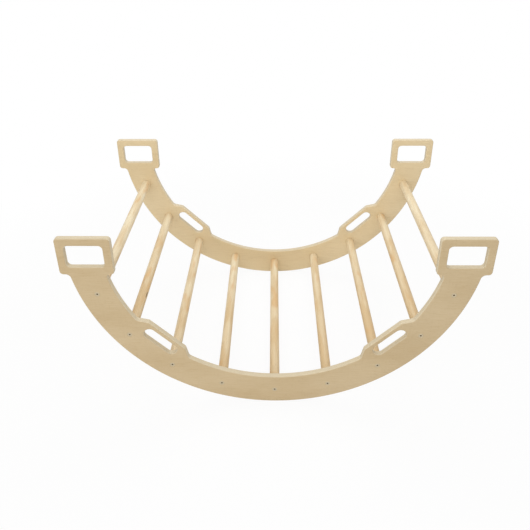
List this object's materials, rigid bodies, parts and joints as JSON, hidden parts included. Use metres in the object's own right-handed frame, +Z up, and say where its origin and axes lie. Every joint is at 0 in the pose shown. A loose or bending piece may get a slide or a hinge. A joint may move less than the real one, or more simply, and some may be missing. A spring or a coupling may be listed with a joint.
{
  "type": "climbing arch",
  "caption": "Rocking and climbing arch: C-shaped plywood side panels with end hand holes and slotted handles, joined by round wooden rungs and countersunk bolts.",
  "frame": {"origin": "on the floor below the middle of the arch, which rests on the curved edges of its side panels", "axes": "+X along the arch from one tip to the other, +Y from the front side panel to the rear one, +Z up"},
  "size_m": [1, 0.6, 0.5005],
  "materials": {
    "birch_plywood": "clear satin varnish",
    "rung_wood": "clear satin varnish",
    "bolt_steel": "plain",
    "insert_zinc": "zinc plated"
  },
  "bodies": {
    "root": {"side_panel_front": "birch_plywood", "side_panel_rear": "birch_plywood", "rung_1": "rung_wood", "rung_2": "rung_wood", "rung_3": "rung_wood", "rung_4": "rung_wood", "rung_5": "rung_wood", "rung_6": "rung_wood", "rung_7": "rung_wood", "rung_8": "rung_wood", "rung_9": "rung_wood", "bolt_front_1": "bolt_steel", "bolt_front_2": "bolt_steel", "bolt_front_3": "bolt_steel", "bolt_front_4": "bolt_steel", "bolt_front_5": "bolt_steel", "bolt_front_6": "bolt_steel", "bolt_front_7": "bolt_steel", "bolt_front_8": "bolt_steel", "bolt_front_9": "bolt_steel", "bolt_rear_1": "bolt_steel", "bolt_rear_2": "bolt_steel", "bolt_rear_3": "bolt_steel", "bolt_rear_4": "bolt_steel", "bolt_rear_5": "bolt_steel", "bolt_rear_6": "bolt_steel", "bolt_rear_7": "bolt_steel", "bolt_rear_8": "bolt_steel", "bolt_rear_9": "bolt_steel", "insert_front_1": "insert_zinc", "insert_front_2": "insert_zinc", "insert_front_3": "insert_zinc", "insert_front_4": "insert_zinc", "insert_front_5": "insert_zinc", "insert_front_6": "insert_zinc", "insert_front_7": "insert_zinc", "insert_front_8": "insert_zinc", "insert_front_9": "insert_zinc", "insert_rear_1": "insert_zinc", "insert_rear_2": "insert_zinc", "insert_rear_3": "insert_zinc", "insert_rear_4": "insert_zinc", "insert_rear_5": "insert_zinc", "insert_rear_6": "insert_zinc", "insert_rear_7": "insert_zinc", "insert_rear_8": "insert_zinc", "insert_rear_9": "insert_zinc"}
  },
  "joints": []
}
